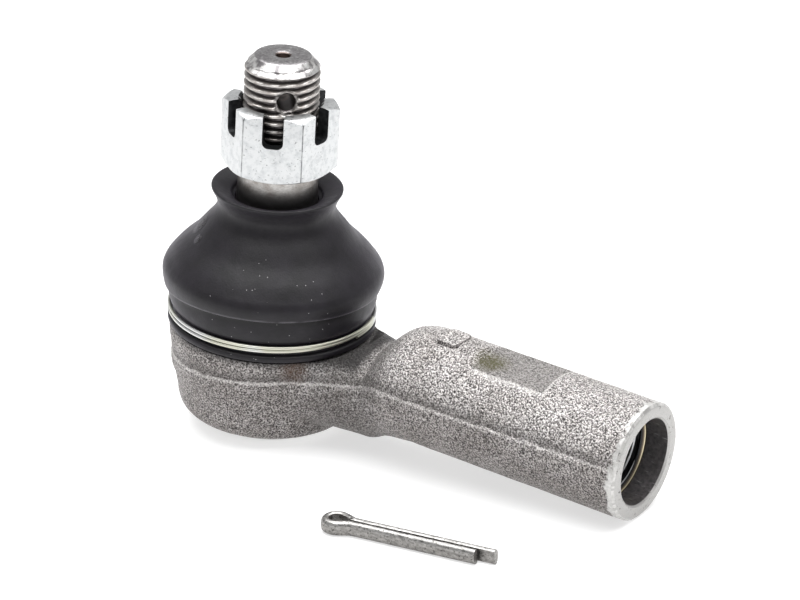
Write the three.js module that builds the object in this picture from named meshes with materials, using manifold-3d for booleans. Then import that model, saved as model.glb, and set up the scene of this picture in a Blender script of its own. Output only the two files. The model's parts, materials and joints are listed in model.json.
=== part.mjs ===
// Tie rod end: a forged housing with a sprung ball stud, a rubber dust boot held by a wire ring,
// a slotted nut on the stud and a loose cotter pin beside it.
// Millimetres. The origin is the centre of the ball, +Z runs up the stud and +X along the shank.

import * as THREE from 'three';
import { mergeVertices } from 'three/addons/utils/BufferGeometryUtils.js';
import Module from 'manifold-3d';

const wasm = await Module();
wasm.setup();

// ---------------------------------------------------------------- driving dimensions

const GAP = 0.3;                      // running and resting gap between neighbouring pieces

const ball = { radius: 11.5, neckRadius: 5.6, neckTop: 13.2, flatZ: -11.2 };
const taper = { bottom: 22.5, bottomRadius: 7.85, top: 34.2, ratio: 1 / 8 };
const thread = { radius: 7.0, reliefRadius: 6.2, start: 35.4, chamferZ: 53.2 };
const studEnd = { top: 55.06, flatRadius: 5.12, centreRadius: 1.4, centreDepth: 1.3 };
const cotterHole = { z: 48.3, radius: 1.7, turn: -46.3, countersink: 2.3, sinkDepth: 0.9 };

const nut = {
  acrossFlats: 19, bottom: 33.4, top: 46.4, bore: 7.35, cornerTurn: -92.4,
  slotWidth: 3.86, slotFloor: 40.35, faceRadius: 9.3, chamfer: 1.2,
};

const head = { foot: -17.1, footRadius: 12.6, shoulder: 2.0, shoulderRadius: 19.1 };
const collar = { radius: 16.8, top: 10.7, grooveRadius: 16.0, grooveLow: 3.9, grooveHigh: 5.8 };
const cavity = {
  radius: 13.2, mouthRadius: 9.6, mouthTop: 9.4, flareRadius: 11.0,
  coverStep: -13.3, coverGroove: 13.9, crimpTop: -15.3, crimpRadius: 11.3,
};

const shank = { radius: 10.92, start: 36, end: 81.76, chamfer: 0.7, faceRadius: 10.35 };
const bore = {
  counterRadius: 8.08, counterDepth: 5, mouthRadius: 8.45,
  threadRadius: 7.2, leadIn: 7.5, bottom: 38, tip: 34,
};
const flat = { height: 9.69, start: 49.2, runOut: 46.8, end: 62.7 };

const seat = { inner: ball.radius + GAP, outer: cavity.radius - GAP, mouth: 9.3, mouthOuter: 9.7 };
const cup = { shoulder: -9.6, bossRadius: 9.3, bossTip: 7.0, bottom: -13.0, hole: 3.2 };
const spring = { radius: 10.15, wire: 1.4, top: cup.shoulder - GAP, turns: 2.6 };
const cover = { radius: cavity.coverGroove - GAP, thickness: 1.4, dishRadius: 11.2, dishDepth: 1.2 };

const boot = { rim: 29.3, bottom: 2.33, flangeRadius: 19.5, ringFloor: 18.5, ringLow: 3.65, ringHigh: 6.0 };
const wireRing = { wire: 0.84, outerRadius: 19.68, z: 4.83, turns: 2.06, pitch: 0.87 };
const lipRing = { inner: 8.5, outer: 9.5, low: 25.4, high: 26.6 };

const pin = {
  width: 2.8, eyeLength: 5.7, eyeWidth: 5.5, shortLeg: 25.1, longLeg: 28.2, slit: 0.4,
  place: [36.7, -33.5], turn: 5.9,
};

const AROUND = 36;                    // facets round the large turned pieces

// ---------------------------------------------------------------- geometry helpers

const vec2 = (r, z) => new THREE.Vector2(r, z);
const radians = THREE.MathUtils.degToRad;

// Points on an arc in a profile, its ends included.
function arc(centreR, centreZ, radius, fromDegrees, toDegrees, steps) {
  const points = [];
  for (let i = 0; i <= steps; i += 1) {
    const angle = radians(fromDegrees + (toDegrees - fromDegrees) * i / steps);
    points.push(vec2(centreR + radius * Math.cos(angle), centreZ + radius * Math.sin(angle)));
  }
  return points;
}

// Points on a smooth curve through the given [r, z] pairs.
function smooth(pairs, steps) {
  return new THREE.SplineCurve(pairs.map(([r, z]) => vec2(r, z))).getPoints(steps);
}

const degreesFor = (radius, r) => THREE.MathUtils.radToDeg(Math.acos(r / radius));

// A solid of revolution about Z; the profile runs counter-clockwise in (r, z), and one that
// doesn't start on the axis is closed on itself.
function turnedZ(profile, facets = AROUND) {
  const closed = profile[0].x === 0 ? profile : [...profile, profile[0].clone()];
  return new THREE.LatheGeometry(closed, facets).rotateX(Math.PI / 2);
}

// The same about X, with z in the profile standing for x.
function turnedX(profile, facets = AROUND) {
  return new THREE.LatheGeometry(profile, facets).rotateZ(-Math.PI / 2);
}

// A closed skin over rings of points; each ring runs right-handed about the way they advance.
function skin(rings) {
  const count = rings[0].length;
  const points = rings.flat();
  const middle = (ring) => ring.reduce((sum, p) => sum.add(p), new THREE.Vector3()).divideScalar(count);
  points.push(middle(rings[0]), middle(rings.at(-1)));
  const startCap = points.length - 2;
  const endCap = points.length - 1;
  const index = [];
  for (let j = 0; j < count; j += 1) {
    const next = (j + 1) % count;
    for (let i = 0; i + 1 < rings.length; i += 1) {
      const low = i * count;
      const high = low + count;
      index.push(low + j, low + next, high + next, low + j, high + next, high + j);
    }
    const last = (rings.length - 1) * count;
    index.push(startCap, next, j, endCap, last + j, last + next);
  }
  const geometry = new THREE.BufferGeometry().setFromPoints(points);
  geometry.setIndex(index);
  return geometry;
}

function toManifold(geometry) {
  const bare = geometry.clone();
  bare.deleteAttribute('normal');
  bare.deleteAttribute('uv');
  const merged = mergeVertices(bare);
  const index = merged.index.array;
  const kept = [];
  for (let i = 0; i < index.length; i += 3) {
    const [a, b, c] = [index[i], index[i + 1], index[i + 2]];
    if (a !== b && b !== c && c !== a) kept.push(a, b, c);
  }
  const vertProperties = new Float32Array(merged.attributes.position.array);
  return new wasm.Manifold(new wasm.Mesh({ numProp: 3, vertProperties, triVerts: new Uint32Array(kept) }));
}

function fromManifold(solid) {
  const mesh = solid.getMesh();
  const geometry = new THREE.BufferGeometry();
  geometry.setAttribute('position', new THREE.BufferAttribute(new Float32Array(mesh.vertProperties), 3));
  geometry.setIndex(new THREE.BufferAttribute(new Uint32Array(mesh.triVerts), 1));
  return geometry;
}

// A closed outline in (x, z), extruded along Y and centred on it.
function slabXZ(outline, width) {
  const shape = new THREE.Shape(outline.map(([x, z]) => vec2(x, z)));
  const slab = new THREE.ExtrudeGeometry(shape, { depth: width, bevelEnabled: false });
  return slab.translate(0, 0, -width / 2).rotateX(Math.PI / 2);
}

// A round wire along a helix about Z; the height is a function of the turn number.
function coil(radius, wire, turns, stepsPerTurn, heightAt) {
  const sides = 8;
  const steps = Math.round(turns * stepsPerTurn);
  const rings = [];
  for (let i = 0; i <= steps; i += 1) {
    const turn = turns * i / steps;
    const angle = 2 * Math.PI * turn;
    const ring = [];
    for (let j = 0; j < sides; j += 1) {
      const around = 2 * Math.PI * j / sides;
      const r = radius - wire / 2 * Math.cos(around);
      const z = heightAt(turn) + wire / 2 * Math.sin(around);
      ring.push(new THREE.Vector3(r * Math.cos(angle), r * Math.sin(angle), z));
    }
    rings.push(ring);
  }
  return skin(rings);
}

// ---------------------------------------------------------------- housing forging

// Outside of the head, from the staked rim at the foot up to the collar that carries the boot.
function headOutside() {
  const rim = head.footRadius;
  return turnedZ([
    vec2(0, head.foot),
    vec2(rim - 0.2, head.foot),
    vec2(rim, head.foot + 0.2),
    vec2(rim + 0.1, -16.3),
    vec2(13.3, -16.1),
    ...smooth([
      [14.8, -15.75], [15.9, -15.0], [16.7, -13.8], [17.1, -12.4], [17.3, -11], [18.3, -5.5],
      [head.shoulderRadius, 0],
    ], 10),
    vec2(head.shoulderRadius, head.shoulder),
    vec2(collar.radius, head.shoulder),
    vec2(collar.radius, collar.grooveLow),
    vec2(collar.grooveRadius, collar.grooveLow),
    vec2(collar.grooveRadius, collar.grooveHigh),
    vec2(collar.radius, collar.grooveHigh),
    vec2(collar.radius, collar.top - 1),
    vec2(collar.radius - 1, collar.top),
    vec2(0, collar.top),
  ], 44);
}

// Neck and shank as one bar. The neck hangs lower than the shank's axis and widens into the head.
function neckAndShank() {
  const sections = [
    { x: 6, z: -3.2, high: 12.0, wide: 14.0 },
    { x: 13, z: -3.5, high: 11.0, wide: 13.2 },
    { x: 16, z: -3.6, high: 10.4, wide: 12.2 },
    { x: 18.5, z: -3.72, high: 9.85, wide: 11.0 },
    { x: 21.5, z: -3.95, high: 9.6, wide: 9.95 },
    { x: 24.5, z: -4.15, high: 9.3, wide: 9.35 },
    { x: 26.4, z: -4.3, high: 9.1, wide: 9.1 },
    { x: 27.6, z: -3.3, high: 9.5, wide: 9.5 },
    { x: 29.1, z: -2.1, high: 9.9, wide: 9.9 },
    { x: 30.8, z: -1.1, high: 10.4, wide: 10.4 },
    { x: 32.4, z: -0.5, high: 10.75, wide: 10.75 },
    { x: 34.2, z: -0.2, high: 10.9, wide: 10.9 },
    { x: shank.start, z: 0, high: shank.radius, wide: shank.radius },
    { x: shank.end - shank.chamfer, z: 0, high: shank.radius, wide: shank.radius },
    { x: shank.end, z: 0, high: shank.faceRadius, wide: shank.faceRadius },
  ];
  return skin(sections.map((section) => {
    const ring = [];
    for (let j = 0; j < AROUND; j += 1) {
      const angle = 2 * Math.PI * j / AROUND;
      const y = section.wide * Math.cos(angle);
      const z = section.z + section.high * Math.sin(angle);
      ring.push(new THREE.Vector3(section.x, y, z));
    }
    return ring;
  }));
}

// Space for the ball, its seats, the spring and the end cover, open at the top and the bottom.
function headCavity() {
  const mouthAngle = degreesFor(cavity.radius, cavity.mouthRadius);
  const flareTop = cavity.mouthTop + cavity.flareRadius - cavity.mouthRadius;
  return turnedZ([
    vec2(0, head.foot - 2),
    vec2(cavity.crimpRadius, head.foot - 2),
    vec2(cavity.crimpRadius, cavity.crimpTop),
    vec2(cavity.coverGroove, cavity.crimpTop),
    vec2(cavity.coverGroove, cavity.coverStep),
    vec2(cavity.radius, cavity.coverStep),
    ...arc(0, 0, cavity.radius, 0, mouthAngle, 7),
    vec2(cavity.mouthRadius, cavity.mouthTop),
    vec2(cavity.flareRadius, flareTop),
    vec2(cavity.flareRadius, collar.top + 2),
    vec2(0, collar.top + 2),
  ]);
}

// Female thread bore for the tie rod, with a plain counterbore at the open end.
function shankBore() {
  const step = shank.end - bore.counterDepth;
  const lead = bore.leadIn - bore.threadRadius;
  return turnedX([
    vec2(0, bore.tip),
    vec2(bore.threadRadius, bore.bottom),
    vec2(bore.threadRadius, step - lead),
    vec2(bore.leadIn, step),
    vec2(bore.counterRadius, step),
    vec2(bore.counterRadius, shank.end - (bore.mouthRadius - bore.counterRadius)),
    vec2(bore.mouthRadius, shank.end),
    vec2(bore.mouthRadius, shank.end + 2),
    vec2(0, shank.end + 2),
  ]);
}

// Cutter for one spanner flat; side is 1 for the top flat and -1 for the one below.
function spannerFlat(side) {
  const clear = shank.radius + 2;
  const outline = [
    [flat.runOut, side * clear],
    [flat.runOut, side * (shank.radius + 0.2)],
    [(flat.runOut + flat.start) / 2, side * (flat.height + 0.35)],
    [flat.start, side * flat.height],
    [flat.end, side * flat.height],
    [flat.end, side * clear],
  ];
  return slabXZ(outline, 2 * clear);
}

// Hollows the top of the neck so that it falls away to the boot's flange.
function bootPocket() {
  const inner = collar.grooveRadius - 0.5;
  return turnedZ([
    vec2(inner, head.shoulder),
    vec2(boot.flangeRadius + 0.5, head.shoulder),
    vec2(20.7, 2.5),
    vec2(22.5, 4.0),
    vec2(24.4, 6.2),
    vec2(25.4, 9.0),
    vec2(25.4, collar.top + 8),
    vec2(inner, collar.top + 8),
  ], 48);
}

function housing() {
  let solid = toManifold(neckAndShank()).subtract(toManifold(bootPocket()));
  solid = solid.add(toManifold(headOutside()));
  for (const cutter of [headCavity(), shankBore(), spannerFlat(1), spannerFlat(-1)]) {
    solid = solid.subtract(toManifold(cutter));
  }
  return fromManifold(solid);
}

// ---------------------------------------------------------------- ball stud

const taperRadius = (z) => taper.bottomRadius - (z - taper.bottom) * taper.ratio / 2;

function ballStud() {
  const startAngle = THREE.MathUtils.radToDeg(Math.asin(ball.flatZ / ball.radius));
  const fillet = 0.8;
  const neckAngle = degreesFor(ball.radius, ball.neckRadius + fillet);
  const body = turnedZ([
    vec2(0, ball.flatZ),
    ...arc(0, 0, ball.radius, startAngle, neckAngle, 16),
    vec2(ball.neckRadius, ball.radius * Math.sin(radians(neckAngle)) + fillet),
    vec2(ball.neckRadius, ball.neckTop),
    vec2(6.3, 17.2),
    vec2(7.5, 21.4),
    vec2(taper.bottomRadius, taper.bottom),
    vec2(taperRadius(taper.top), taper.top),
    vec2(thread.reliefRadius, taper.top + 0.5),
    vec2(thread.reliefRadius, thread.start - 0.6),
    vec2(thread.radius, thread.start),
    vec2(thread.radius, thread.chamferZ),
    vec2(studEnd.flatRadius, studEnd.top),
    vec2(studEnd.centreRadius, studEnd.top),
    vec2(0, studEnd.top - studEnd.centreDepth),
  ]);
  const reach = thread.radius + 1;
  const sinkStart = thread.radius - cotterHole.sinkDepth;
  const sinkEnd = cotterHole.countersink + reach - thread.radius;
  const hole = turnedX([
    vec2(0, -reach),
    vec2(sinkEnd, -reach),
    vec2(cotterHole.radius, -sinkStart),
    vec2(cotterHole.radius, sinkStart),
    vec2(sinkEnd, reach),
    vec2(0, reach),
  ], 20).rotateZ(radians(cotterHole.turn)).translate(0, 0, cotterHole.z);
  return fromManifold(toManifold(body).subtract(toManifold(hole)));
}

// ---------------------------------------------------------------- slotted nut

function castleNut() {
  const cornerRadius = nut.acrossFlats / 2 / Math.cos(Math.PI / 6);
  const height = nut.top - nut.bottom;
  const hexagon = new THREE.CylinderGeometry(cornerRadius, cornerRadius, height, 6)
    .rotateX(Math.PI / 2)
    .rotateZ(radians(nut.cornerTurn) + Math.PI / 2)
    .translate(0, 0, nut.bottom + height / 2);
  const rounding = turnedZ([
    vec2(0, nut.bottom),
    vec2(nut.faceRadius, nut.bottom),
    vec2(cornerRadius, nut.bottom + 1.0),
    vec2(cornerRadius + 0.3, nut.bottom + 1.3),
    vec2(cornerRadius + 0.3, nut.top - nut.chamfer),
    ...arc(cornerRadius - nut.chamfer, nut.top - nut.chamfer, nut.chamfer, 30, 90, 3),
    vec2(0, nut.top),
  ], 48);
  const drill = turnedZ([
    vec2(0, nut.bottom - 1),
    vec2(nut.bore + 1.0, nut.bottom - 1),
    vec2(nut.bore, nut.bottom + 0.6),
    vec2(nut.bore, nut.top - 0.5),
    vec2(nut.bore + 1.0, nut.top + 1),
    vec2(0, nut.top + 1),
  ]);
  let solid = toManifold(hexagon).intersect(toManifold(rounding)).subtract(toManifold(drill));
  const half = nut.slotWidth / 2;
  const floor = 0.9;
  for (let k = 0; k < 3; k += 1) {
    const slot = new THREE.Shape([
      vec2(-half, nut.top + 1),
      vec2(-half, nut.slotFloor + floor),
      ...arc(0, nut.slotFloor + floor, half, 180, 360, 6).slice(1, -1)
        .map((p) => vec2(p.x, nut.slotFloor + floor + (p.y - nut.slotFloor - floor) * floor / half)),
      vec2(half, nut.slotFloor + floor),
      vec2(half, nut.top + 1),
    ]);
    const cutter = new THREE.ExtrudeGeometry(slot, { depth: 30, bevelEnabled: false })
      .translate(0, 0, -15)
      .rotateX(Math.PI / 2)
      .rotateZ(radians(nut.cornerTurn + 30 + 60 * k) + Math.PI / 2);
    solid = solid.subtract(toManifold(cutter));
  }
  return fromManifold(solid);
}

// ---------------------------------------------------------------- seats, spring and cover

// Upper half of the ball's plastic bearing, against the shoulder of the housing.
function upperSeat() {
  const innerMouth = degreesFor(seat.inner, seat.mouth);
  const outerMouth = degreesFor(seat.outer, seat.mouthOuter);
  return turnedZ([
    vec2(seat.inner, GAP),
    vec2(seat.outer, GAP),
    ...arc(0, 0, seat.outer, 2, outerMouth, 6),
    ...arc(0, 0, seat.inner, innerMouth, 2, 6),
  ]);
}

// Lower half: a cup with a shoulder for the spring and a hole that lets the grease through.
function lowerSeat() {
  const holeAngle = -degreesFor(seat.inner, cup.hole);
  return turnedZ([
    vec2(cup.hole, cup.bottom),
    vec2(cup.bossTip, cup.bottom),
    vec2(cup.bossRadius, cup.shoulder),
    vec2(seat.outer, cup.shoulder),
    vec2(seat.outer, -GAP),
    ...arc(0, 0, seat.inner, -2, holeAngle, 9),
  ]);
}

function coverTop() {
  return cavity.crimpTop + GAP + cover.thickness;
}

function pressureSpring() {
  const low = coverTop() + GAP - cover.dishDepth + spring.wire / 2;
  const high = spring.top - spring.wire / 2;
  const heightAt = (turn) => low + (high - low) * turn / spring.turns;
  return coil(spring.radius, spring.wire, spring.turns, 20, heightAt);
}

// Pressed steel plug in the bottom of the head, dished outwards to give the spring its height.
function endCover() {
  const top = coverTop();
  const low = top - cover.thickness;
  const wall = cover.dishDepth;
  return turnedZ([
    vec2(0, low - wall),
    vec2(cover.dishRadius - wall, low - wall),
    vec2(cover.dishRadius, low),
    vec2(cover.radius, low),
    vec2(cover.radius, top),
    vec2(cover.dishRadius + 0.9, top),
    vec2(cover.dishRadius + 0.9 - wall, top - wall),
    vec2(0, top - wall),
  ]);
}

// ---------------------------------------------------------------- dust boot and its rings

function dustBoot() {
  const outside = smooth([
    [19.1, boot.ringHigh], [19.5, 8.8], [19.75, 10.4], [20.4, 11.5], [20.6, 12.4], [20.3, 13.7],
    [17.93, 16.7], [15.37, 19.2], [13.4, 21.6], [11.62, 23.8], [10.94, 25.6], [11.33, 27.3],
  ], 17);
  const inside = smooth([
    [8.1, 24.3], [9.4, 23.9], [10.6, 22.5], [12.2, 20.4], [14.2, 18.2], [16.5, 15.9], [18.1, 13.7],
    [18.5, 12.2], [18.1, 10.4], [17.1, 7.6],
  ], 11);
  const grooveHigh = lipRing.high + GAP;
  const grooveLow = lipRing.low - GAP;
  const grooveRadius = lipRing.outer + GAP;
  return turnedZ([
    vec2(collar.radius + GAP, boot.bottom),
    vec2(boot.flangeRadius, boot.bottom),
    vec2(boot.flangeRadius, boot.ringLow - 0.3),
    vec2(boot.ringFloor, boot.ringLow),
    vec2(boot.ringFloor, boot.ringHigh - 0.2),
    ...outside,
    vec2(11.9, 28.4),
    vec2(12.2, boot.rim - 0.3),
    vec2(11.9, boot.rim),
    vec2(9.0, 28.1),
    vec2(8.6, 27.7),
    vec2(8.1, grooveHigh),
    vec2(grooveRadius, grooveHigh),
    vec2(grooveRadius, grooveLow),
    vec2(8.1, grooveLow),
    ...inside,
    vec2(collar.radius + GAP, collar.grooveHigh - 0.2),
    vec2(collar.grooveRadius + GAP, collar.grooveHigh - GAP),
    vec2(collar.grooveRadius + GAP, collar.grooveLow + GAP),
    vec2(collar.radius + GAP, collar.grooveLow + 0.2),
  ]);
}

// Double-turn wire that clamps the boot in the groove of the collar.
function retainingRing() {
  const radius = wireRing.outerRadius - wireRing.wire / 2;
  const low = wireRing.z - wireRing.pitch / 2;
  const heightAt = (turn) => low + wireRing.pitch * THREE.MathUtils.clamp(turn - 0.5, 0, 1);
  return coil(radius, wireRing.wire, wireRing.turns, 32, heightAt);
}

// Steel band inside the boot's neck that keeps the lip round the stud.
function lipBand() {
  return turnedZ([
    vec2(lipRing.inner, lipRing.low),
    vec2(lipRing.outer, lipRing.low),
    vec2(lipRing.outer, lipRing.high),
    vec2(lipRing.inner, lipRing.high),
  ]);
}

// ---------------------------------------------------------------- cotter pin

// The plane that the whole part comes to rest on: it touches the edge of the foot's rim and the
// lower edge of the shank's open end.
function restingPlane() {
  const run = shank.end - shank.chamfer - (head.footRadius - 0.2);
  const rise = -shank.radius - head.foot;
  const tilt = Math.atan2(rise, run);
  const touch = new THREE.Vector3(shank.end - shank.chamfer, 0, -shank.radius);
  const normal = new THREE.Vector3(-Math.sin(tilt), 0, Math.cos(tilt));
  return { tilt, touch, normal };
}

// Half-round wire bent into an eye with two legs; u runs along the pin and v across it.
function pinPath() {
  const legCentre = pin.slit / 2;
  const eyeHalf = pin.eyeWidth / 2 - pin.width / 2;
  const side = (sign, leg) => [
    [pin.eyeLength + leg, sign * legCentre],
    [pin.eyeLength + leg * 0.5, sign * legCentre],
    [pin.eyeLength + 1.2, sign * legCentre],
    [pin.eyeLength - 0.6, sign * (legCentre + 0.35)],
    [pin.eyeLength * 0.72, sign * eyeHalf * 0.75],
    [pin.eyeLength * 0.5, sign * eyeHalf],
  ];
  const near = pin.width / 2;
  const crown = [[near + 0.35, eyeHalf * 0.72], [near, 0], [near + 0.35, -eyeHalf * 0.72]];
  return [...side(1, pin.longLeg), ...crown, ...side(-1, pin.shortLeg).reverse()];
}

function cotterPin() {
  const knots = pinPath().map(([u, v]) => new THREE.Vector3(u, v, 0));
  const curve = new THREE.CatmullRomCurve3(knots, false, 'centripetal');
  const steps = 44;
  const radius = pin.width / 2;
  const rings = [];
  for (let i = 0; i <= steps; i += 1) {
    const centre = curve.getPoint(i / steps);
    const along = curve.getTangent(i / steps);
    const outward = new THREE.Vector3(along.y, -along.x, 0);
    const ring = [];
    for (let j = 0; j <= 7; j += 1) {
      const angle = radians(90 - 180 * j / 7);
      const out = radius * Math.cos(angle);
      const point = centre.clone().addScaledVector(outward, out);
      point.z += radius * Math.sin(angle);
      ring.push(point);
    }
    rings.push(ring);
  }
  const plane = restingPlane();
  const geometry = skin(rings).rotateZ(radians(pin.turn));
  geometry.rotateY(-plane.tilt);
  const floorZ = plane.touch.z + (pin.place[0] - plane.touch.x) * Math.tan(plane.tilt);
  const lift = radius + 0.05;
  return geometry.translate(
    pin.place[0] + plane.normal.x * lift,
    pin.place[1],
    floorZ + plane.normal.z * lift,
  );
}

// ---------------------------------------------------------------- assembly

const finishes = {
  forging: { color: 0x8d8b86, roughness: 0.72, metalness: 0.6 },
  zinc: { color: 0xd9dcdc, roughness: 0.3, metalness: 0.9 },
  steel: { color: 0x9a9793, roughness: 0.35, metalness: 0.9 },
  springSteel: { color: 0x5b5d60, roughness: 0.4, metalness: 0.9 },
  resin: { color: 0xe6e2d4, roughness: 0.5, metalness: 0.0 },
  rubber: { color: 0x17161a, roughness: 0.55, metalness: 0.0 },
};

const pieces = [
  ['housing', housing, 'forging'],
  ['ball_stud', ballStud, 'steel'],
  ['upper_ball_seat', upperSeat, 'resin'],
  ['lower_ball_seat', lowerSeat, 'resin'],
  ['seat_spring', pressureSpring, 'springSteel'],
  ['end_cover', endCover, 'steel'],
  ['dust_boot', dustBoot, 'rubber'],
  ['boot_retaining_ring', retainingRing, 'zinc'],
  ['boot_lip_ring', lipBand, 'springSteel'],
  ['castle_nut', castleNut, 'zinc'],
  ['cotter_pin', cotterPin, 'steel'],
];

const tieRodEnd = new THREE.Group();
for (const [name, build, finish] of pieces) {
  const mesh = new THREE.Mesh(build(), new THREE.MeshStandardMaterial(finishes[finish]));
  mesh.name = name;
  tieRodEnd.add(mesh);
}

export default tieRodEnd;
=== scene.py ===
"""Tie rod end: the looks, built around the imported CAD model.

The frame is the model's own: origin at the ball's centre, +Z up the stud, +X along the shank.
Named lengths are in millimetres, and MM turns them into metres where a mesh is made.
"""
import json
import math

import bpy
from mathutils import Matrix, Quaternion, Vector, noise


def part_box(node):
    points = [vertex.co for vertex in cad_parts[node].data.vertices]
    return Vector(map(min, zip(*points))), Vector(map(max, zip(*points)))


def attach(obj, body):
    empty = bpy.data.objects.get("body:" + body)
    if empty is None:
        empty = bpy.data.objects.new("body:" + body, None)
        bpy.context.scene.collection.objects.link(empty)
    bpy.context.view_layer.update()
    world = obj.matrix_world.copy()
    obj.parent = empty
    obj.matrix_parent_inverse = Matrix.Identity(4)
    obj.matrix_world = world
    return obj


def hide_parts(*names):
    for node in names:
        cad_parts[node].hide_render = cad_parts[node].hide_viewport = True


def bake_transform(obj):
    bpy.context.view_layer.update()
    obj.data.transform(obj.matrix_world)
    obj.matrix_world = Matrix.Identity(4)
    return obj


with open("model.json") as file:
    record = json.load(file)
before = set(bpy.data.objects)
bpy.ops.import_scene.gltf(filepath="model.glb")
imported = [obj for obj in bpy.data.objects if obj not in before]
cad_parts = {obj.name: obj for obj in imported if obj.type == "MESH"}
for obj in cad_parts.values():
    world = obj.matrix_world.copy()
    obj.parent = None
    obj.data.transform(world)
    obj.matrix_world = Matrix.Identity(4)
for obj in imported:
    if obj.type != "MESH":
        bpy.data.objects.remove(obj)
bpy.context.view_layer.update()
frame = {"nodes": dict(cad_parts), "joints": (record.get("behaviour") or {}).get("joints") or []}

MM = 0.001


def box_mm(node):
    """Lowest and highest corner of a CAD node, in millimetres."""
    low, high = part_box(node)
    return low / MM, high / MM


# ------------ driving dimensions, millimetres

HOUSING_LOW, HOUSING_HIGH = box_mm("housing")
STUD_LOW, STUD_HIGH = box_mm("ball_stud")
NUT_LOW, NUT_HIGH = box_mm("castle_nut")
BOOT_LOW, BOOT_HIGH = box_mm("dust_boot")
RING_LOW, RING_HIGH = box_mm("boot_retaining_ring")
COVER_LOW, COVER_HIGH = box_mm("end_cover")

SHANK_END = HOUSING_HIGH.x
SHANK_RADIUS = 10.92
SHANK_START = 36.0
HEAD_RADIUS = HOUSING_HIGH.y
FOOT_Z = HOUSING_LOW.z
FOOT_RADIUS = 12.6
SHOULDER_Z = 2.0
COLLAR_RADIUS = 16.8
COLLAR_TOP = 10.7
CAVITY_RADIUS = 13.2
MOUTH_RADIUS = 9.6

COUNTERBORE_RADIUS = 8.08
COUNTERBORE_DEPTH = 5.0
BORE_BOTTOM = 38.0
BORE_TIP = 34.0
BORE_MINOR = 7.2
THREAD_PITCH = 1.5

FLAT_Z = 9.69
FLAT_START = 49.2
FLAT_RUN_OUT = 46.8
FLAT_END = 62.7

VOXEL = 0.3
# The forging's flash line round the head and along the shank: (height at x = 0, slope).
HEAD_LINE = (-3.1, 0.09)
SHANK_LINE = (0.6, 0.021)
LINE_RISE = (24.5, 32.0)

STUD_THREAD_RADIUS = 6.95
THREAD_DEPTH = 0.86
ROWS_PER_TURN = 14
THREAD_START = 35.4
RELIEF_RADIUS = 6.2
STUD_TOP = STUD_HIGH.z
STUD_FLAT_RADIUS = 5.12
CHAMFER_SLOPE = 1.05
TAPER_BOTTOM = 22.5
TAPER_TOP = 34.2
TAPER_RADIUS = 7.85
TAPER_RATIO = 1 / 8
BALL_RADIUS = 11.5
NECK_RADIUS = 5.6
COTTER_HOLE_Z = 48.3
COTTER_HOLE_RADIUS = 1.65
COTTER_HOLE_TURN = -46.3

NUT_FLATS = 19.0
NUT_CORNER_RADIUS = NUT_FLATS / 2 / math.cos(math.pi / 6)
NUT_CORNER_TURN = -92.4
NUT_BORE = 7.35
NUT_FACE_RADIUS = 9.3
SLOT_WIDTH = 3.86
SLOT_FLOOR = 40.35

RING_WIRE = 0.84
# Thinner than the CAD ring's wire, so that its turns can be told apart.
DRAWN_WIRE = 0.62
WIRE_TURNS = 2.06
WIRE_PITCH = 1.02

CREASE_Z = 10.9
FRONT_OF_BOOT = -57.1
CREASE_SAG = 0.85
CREASE_LEAN = 0.55
# Marks on a surface: (centre, reach).
SCUFFS = (((-10.8, -8.6, 21.0), 2.4), ((-8.9, -11.9, 19.8), 1.2))
DUSTY_SIDE = ((11.0, -17.0, 11.0), 15.0)
OLIVE_DAB = ((49.6, -1.6, 9.7), 4.2)
RUST_STAIN = ((14.2, -12.6, 0.5), 3.2)

PIN_WIDTH = 2.8
PIN_EYE_LENGTH = 5.7
PIN_EYE_WIDTH = 5.5
PIN_SHORT_LEG = 25.1
PIN_LONG_LEG = 28.2
PIN_SLIT = 0.4
PIN_PLACE = (36.7, -33.5)
PIN_TURN = 5.9

# The floor, the lamp and the floor's shift are in metres; the camera's lengths are in millimetres.
FLOOR_SIDES = 96
FLOOR_RINGS = 60
FLOOR_RING_WIDTH = 0.02
FLOOR_FLAT = 0.36
FLOOR_FALL = 1.6
FLOOR_SHIFT = (0.03, -0.008, 0.0027)

LAMP_PLACE = (-0.02, 0.05, 0.75)
LAMP_TARGET = (0.03, 0.0, 0.01)
LAMP_SIZE = (1.1, 0.9)
LAMP_POWER = 14.5
# The studio's brightness: (sine of the elevation, grey).
SKY = ((0.06, 1.0), (0.24, 0.36))

VIEW_AZIMUTH = 32.905
VIEW_ELEVATION = 25.65
VIEW_ROLL = 3.49
VIEW_DISTANCE = 630.3
VIEW_TARGET = (28.27, 0.0, 14.79)
LENS = 156.2


# ------------ curve and mesh helpers

def smooth_curve(points, steps):
    """Uniform Catmull-Rom curve through the points, its ends included."""
    last = len(points) - 1
    made = []
    for i in range(steps + 1):
        at = min(last * i / steps, last - 1e-9)
        k = int(at)
        t = at - k
        before = points[max(k - 1, 0)]
        start = points[k]
        end = points[k + 1]
        after = points[min(k + 2, last)]
        made.append(tuple(
            0.5 * (2 * b + (c - a) * t + (2 * a - 5 * b + 4 * c - d) * t * t
                   + (3 * b - a - 3 * c + d) * t ** 3)
            for a, b, c, d in zip(before, start, end, after)
        ))
    return made


def arc(centre_r, centre_z, radius, start, end, steps):
    """Points on an arc in a profile, angles in degrees, its ends included."""
    made = []
    for i in range(steps + 1):
        angle = math.radians(start + (end - start) * i / steps)
        made.append((centre_r + radius * math.cos(angle), centre_z + radius * math.sin(angle)))
    return made


def smoothstep(low, high, value):
    """0 up to low and 1 from high, with a smooth rise between them."""
    t = min(max((value - low) / (high - low), 0.0), 1.0)
    return t * t * (3 - 2 * t)


def around(count):
    """Angles that go once round in equal steps."""
    return [2 * math.pi * j / count for j in range(count)]


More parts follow.
